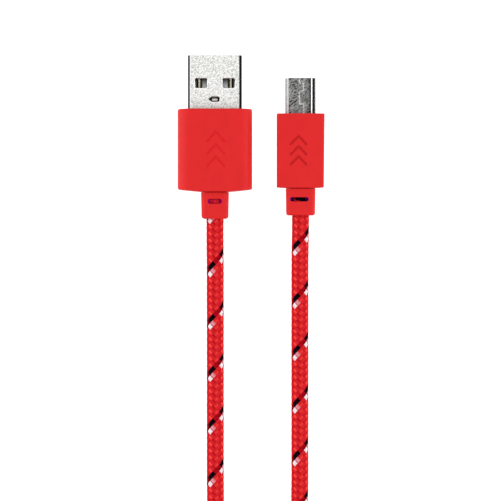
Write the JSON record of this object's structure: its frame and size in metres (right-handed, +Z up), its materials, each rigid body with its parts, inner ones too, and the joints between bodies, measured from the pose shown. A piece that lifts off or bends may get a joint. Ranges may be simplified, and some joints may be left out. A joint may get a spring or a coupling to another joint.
{
  "type": "charging cable",
  "caption": "Braided charging cable with a wide flat plug on one end and a small plug with spring latches on the other, its spare length coiled and tied.",
  "frame": {"origin": "bottom centre of the box that holds the two plugs lying side by side", "axes": "+Y along both plugs towards their metal tips, +Z up from the surface that the cable lies on, +X to the right"},
  "size_m": [0.0526, 0.1583, 0.0123],
  "materials": {
    "red_plastic": "fine satin moulded plastic",
    "red_braid": "braided polyester with one black and one white tracer yarn",
    "bright_steel": "grained nickel-plated steel",
    "dark_steel": "grained stainless steel",
    "gold_plate": "thin gold plating",
    "black_plastic": "moulded glass-filled plastic",
    "clear_mould": "milky moulded polyethylene",
    "tie_cloth": "woven hook-and-loop strap",
    "wire_red": "extruded insulation",
    "wire_white": "extruded insulation",
    "wire_green": "extruded insulation",
    "wire_black": "extruded insulation"
  },
  "bodies": {
    "cable": {"cable_tie": "tie_cloth", "cord_coil": "red_braid", "cord_small_run": "red_braid", "cord_wide_run": "red_braid", "small_contact_data_minus": "gold_plate", "small_contact_data_plus": "gold_plate", "small_contact_ground": "gold_plate", "small_contact_power": "gold_plate", "small_contact_sense": "gold_plate", "small_cord_end": "red_braid", "small_housing": "red_plastic", "small_inner_mould": "clear_mould", "small_insulator": "black_plastic", "small_rear_shield": "dark_steel", "small_shell": "dark_steel", "small_strain_relief": "red_plastic", "small_wire_data_minus": "wire_white", "small_wire_data_plus": "wire_green", "small_wire_ground": "wire_black", "small_wire_power": "wire_red", "wide_contact_data_minus": "gold_plate", "wide_contact_data_plus": "gold_plate", "wide_contact_ground": "gold_plate", "wide_contact_power": "gold_plate", "wide_cord_end": "red_braid", "wide_housing": "red_plastic", "wide_inner_mould": "clear_mould", "wide_insulator": "black_plastic", "wide_rear_shield_bottom": "bright_steel", "wide_rear_shield_top": "bright_steel", "wide_shell": "bright_steel", "wide_strain_relief": "red_plastic", "wide_wire_data_minus": "wire_white", "wide_wire_data_plus": "wire_green", "wide_wire_ground": "wire_black", "wide_wire_power": "wire_red"},
    "latch_left": {"small_latch_left": "dark_steel"},
    "latch_right": {"small_latch_right": "dark_steel"}
  },
  "joints": [
    {"name": "latch_left_flex", "type": "hinge", "parent": "cable", "child": "latch_left", "pos_m": [0.00867, 0.004, 0.00307], "axis": [1, 0, 0], "range_deg": [0, 3.2], "stiffness_Nm_per_rad": 0.2},
    {"name": "latch_right_flex", "type": "hinge", "parent": "cable", "child": "latch_right", "pos_m": [0.01337, 0.004, 0.00307], "axis": [1, 0, 0], "range_deg": [0, 3.2], "stiffness_Nm_per_rad": 0.2}
  ]
}
